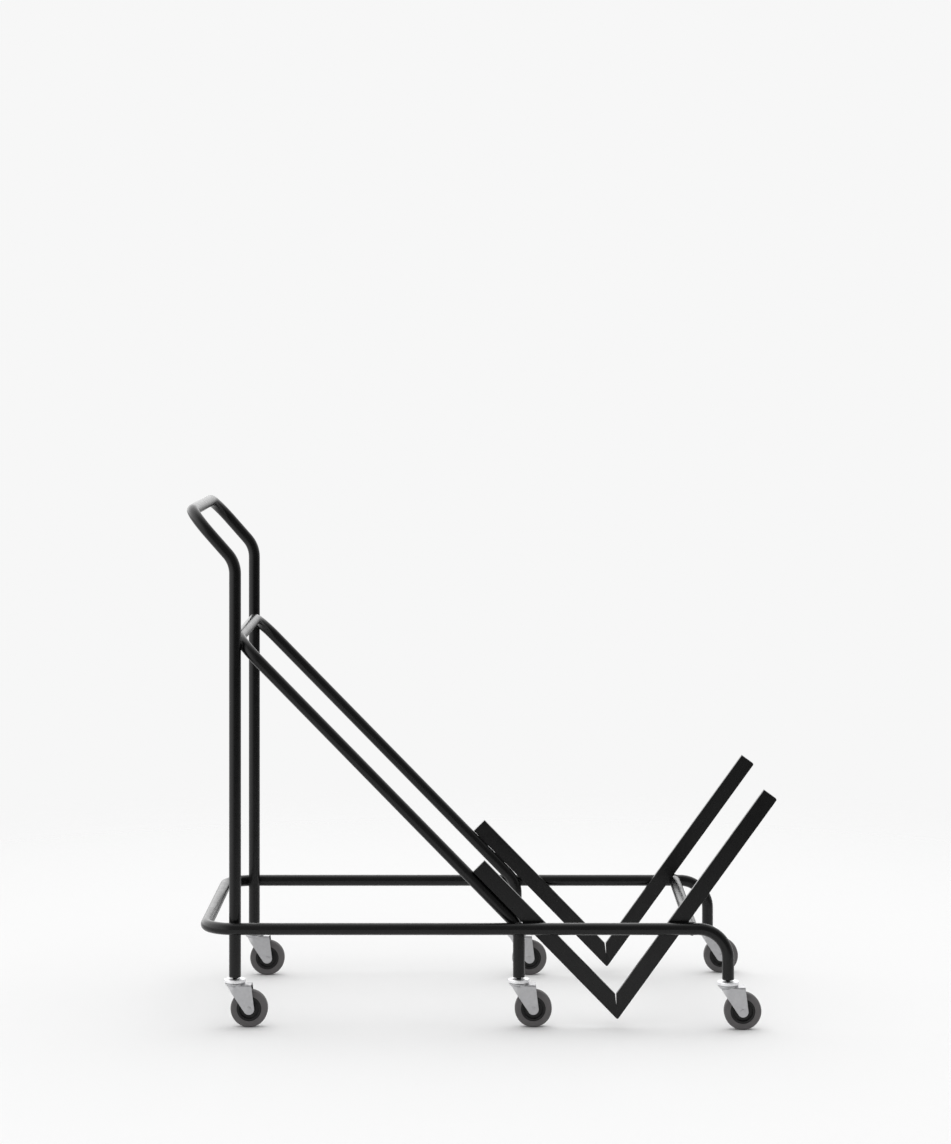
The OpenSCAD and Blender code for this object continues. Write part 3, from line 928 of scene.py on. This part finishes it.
paper_links.new(matt.outputs["BSDF"], blend.inputs[1])
paper_links.new(clear.outputs["BSDF"], blend.inputs[2])
paper_links.new(blend.outputs["Shader"], paper_nodes["Material Output"].inputs["Surface"])
dress([floor], paper)

world = bpy.data.worlds.new("studio")
bpy.context.scene.world = world
world.use_nodes = True
sky, sky_links = world.node_tree.nodes, world.node_tree.links
surround = sky["Background"]
backdrop = sky.new("ShaderNodeBackground")
backdrop.inputs["Strength"].default_value = white
rays = sky.new("ShaderNodeLightPath")
choice = sky.new("ShaderNodeMixShader")
seen = sky.new("ShaderNodeMath")
seen.operation = "MAXIMUM"
direction = sky.new("ShaderNodeTexCoord")
split = sky.new("ShaderNodeSeparateXYZ")
sky_links.new(direction.outputs["Generated"], split.inputs["Vector"])


def ramp(axis, start, end, low, high):
    """A level of the surround along one axis, from low at start to high at end."""
    node = sky.new("ShaderNodeMapRange")
    node.interpolation_type = "SMOOTHSTEP"
    for socket, value in (("From Min", start), ("From Max", end), ("To Min", low), ("To Max", high)):
        node.inputs[socket].default_value = value
    sky_links.new(split.outputs[axis], node.inputs["Value"])
    return node.outputs["Result"]


mirrored = sky.new("ShaderNodeMath")
mirrored.operation = "MULTIPLY"
sky_links.new(ramp("Y", start=-0.6, end=0.5, low=0.33, high=1.9), mirrored.inputs[0])
sky_links.new(ramp("X", start=-1, end=1, low=1.5, high=0.5), mirrored.inputs[1])
left_wall = sky.new("ShaderNodeMath")
left_wall.operation = "MULTIPLY"
sky_links.new(ramp("X", start=-0.1, end=-0.85, low=0, high=1.3), left_wall.inputs[0])
sky_links.new(ramp("Y", start=-0.3, end=0.4, low=1, high=0), left_wall.inputs[1])
above = sky.new("ShaderNodeMath")
above.operation = "MULTIPLY_ADD"
sky_links.new(mirrored.outputs["Value"], above.inputs[0])
sky_links.new(ramp("Z", start=-0.1, end=0.15, low=0.35, high=1), above.inputs[1])
sky_links.new(left_wall.outputs["Value"], above.inputs[2])
level = sky.new("ShaderNodeMix")
sky_links.new(rays.outputs["Is Glossy Ray"], level.inputs["Factor"])
sky_links.new(ramp("Y", start=-0.6, end=0.5, low=0.45, high=1.32), level.inputs["A"])
sky_links.new(above.outputs["Value"], level.inputs["B"])
sky_links.new(level.outputs["Result"], surround.inputs["Strength"])
sky_links.new(rays.outputs["Is Camera Ray"], seen.inputs[0])
sky_links.new(rays.outputs["Is Transmission Ray"], seen.inputs[1])
sky_links.new(seen.outputs["Value"], choice.inputs["Fac"])
sky_links.new(surround.outputs["Background"], choice.inputs[1])
sky_links.new(backdrop.outputs["Background"], choice.inputs[2])
sky_links.new(choice.outputs["Shader"], sky["World Output"].inputs["Surface"])
for light in (surround, backdrop):
    light.inputs["Color"].default_value = (1, 1, 1, 1)

key = bpy.data.lights.new("key_light", "SUN")
key.energy = key_level
key.angle = key_width
key_lamp = bpy.data.objects.new("key_light", key)
bpy.context.scene.collection.objects.link(key_lamp)
key_lamp.visible_glossy = False
key_lamp.rotation_euler = key_heading.to_track_quat("-Z", "Y").to_euler()

# Camera
# A level camera at the photograph's distance and height, with the lens shifted down to frame
# the trolley, so that upright tubes stay upright.
photo_w, photo_h = 951, 1144
lens_centre_x, lens_centre_y = 484.3, 353.0
sensor_mm = 36
lens_mm = 93.65
camera_at = Vector((0.008793, -6.5, 1.4115))
view = bpy.data.cameras.new("photo_camera")
view.sensor_width = sensor_mm
view.lens = lens_mm
view.shift_x = (photo_w / 2 - lens_centre_x) / photo_h
view.shift_y = (lens_centre_y - photo_h / 2) / photo_h
camera = bpy.data.objects.new("photo_camera", view)
camera.location = camera_at
camera.rotation_euler = (quarter, 0, 0)
bpy.context.scene.collection.objects.link(camera)
bpy.context.scene.camera = camera
bpy.context.scene.view_settings.view_transform = "Standard"
